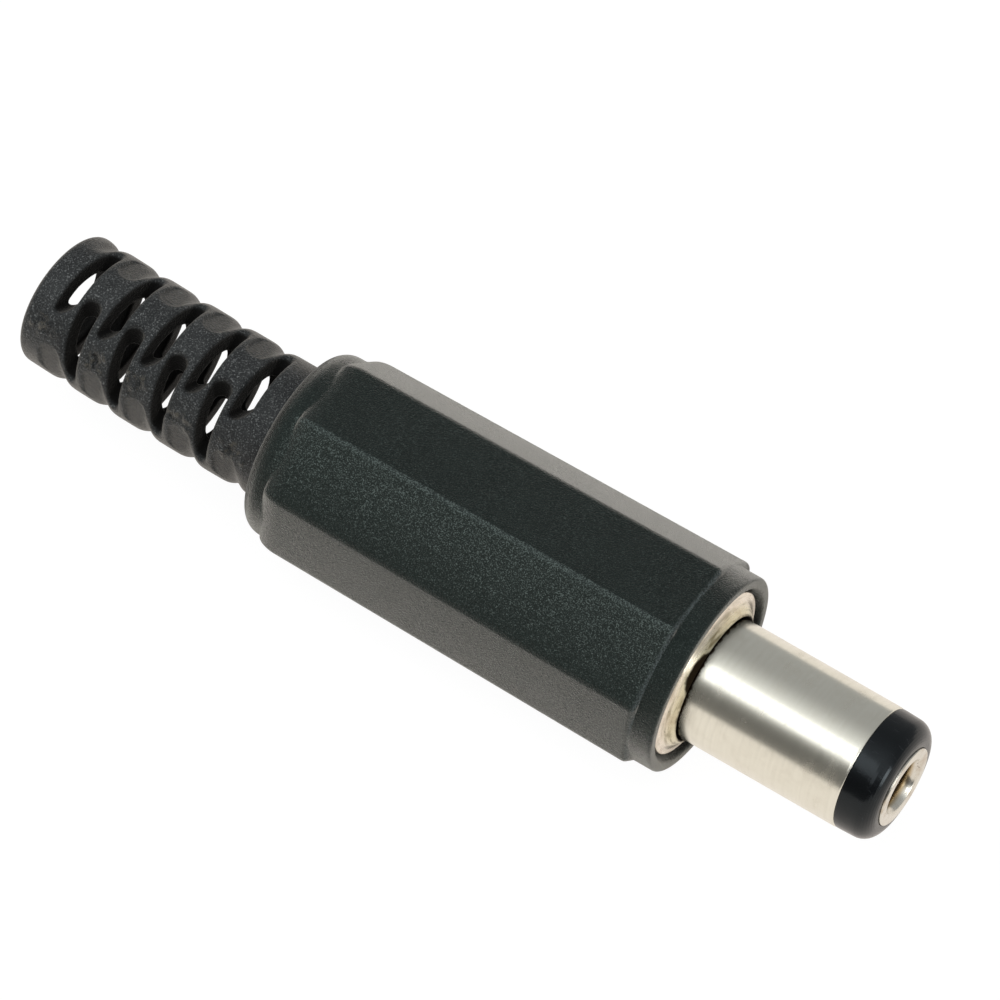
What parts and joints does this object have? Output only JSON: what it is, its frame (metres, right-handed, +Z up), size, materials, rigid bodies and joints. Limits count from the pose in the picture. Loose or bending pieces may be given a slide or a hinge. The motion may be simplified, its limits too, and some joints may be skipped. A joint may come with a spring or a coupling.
{
  "type": "dc barrel plug",
  "caption": "Screw-on power plug: octagonal black cover with slotted strain relief, threaded collar, nickel barrel, insulated hollow tip and solder terminals inside.",
  "frame": {"origin": "on the axis, in the plane of the cover's front rim, where the jack's panel meets the plug", "axes": "+X along the axis, towards the tip; +Z up, square to one flat of the octagon, with the plug lying on the opposite flat"},
  "size_m": [0.0416, 0.009, 0.009],
  "materials": {
    "cover_black": "fine spark-eroded grain",
    "gloss_black": "polished moulding",
    "nickel": "satin nickel plate over turned brass",
    "fibre_brown": "laminated washer",
    "tinned_brass": "stamped and tin plated"
  },
  "bodies": {
    "insert": {"barrel": "nickel", "collar": "nickel", "tip_insulator": "gloss_black", "centre_contact": "nickel", "rear_insulator": "fibre_brown", "sleeve_terminal": "tinned_brass", "centre_terminal": "tinned_brass"},
    "cover": {"cover": "cover_black"}
  },
  "joints": [
    {"name": "cover_unscrew", "type": "slide", "parent": "insert", "child": "cover", "axis": [-1, 0, 0], "range_m": [0, 0.022]}
  ]
}
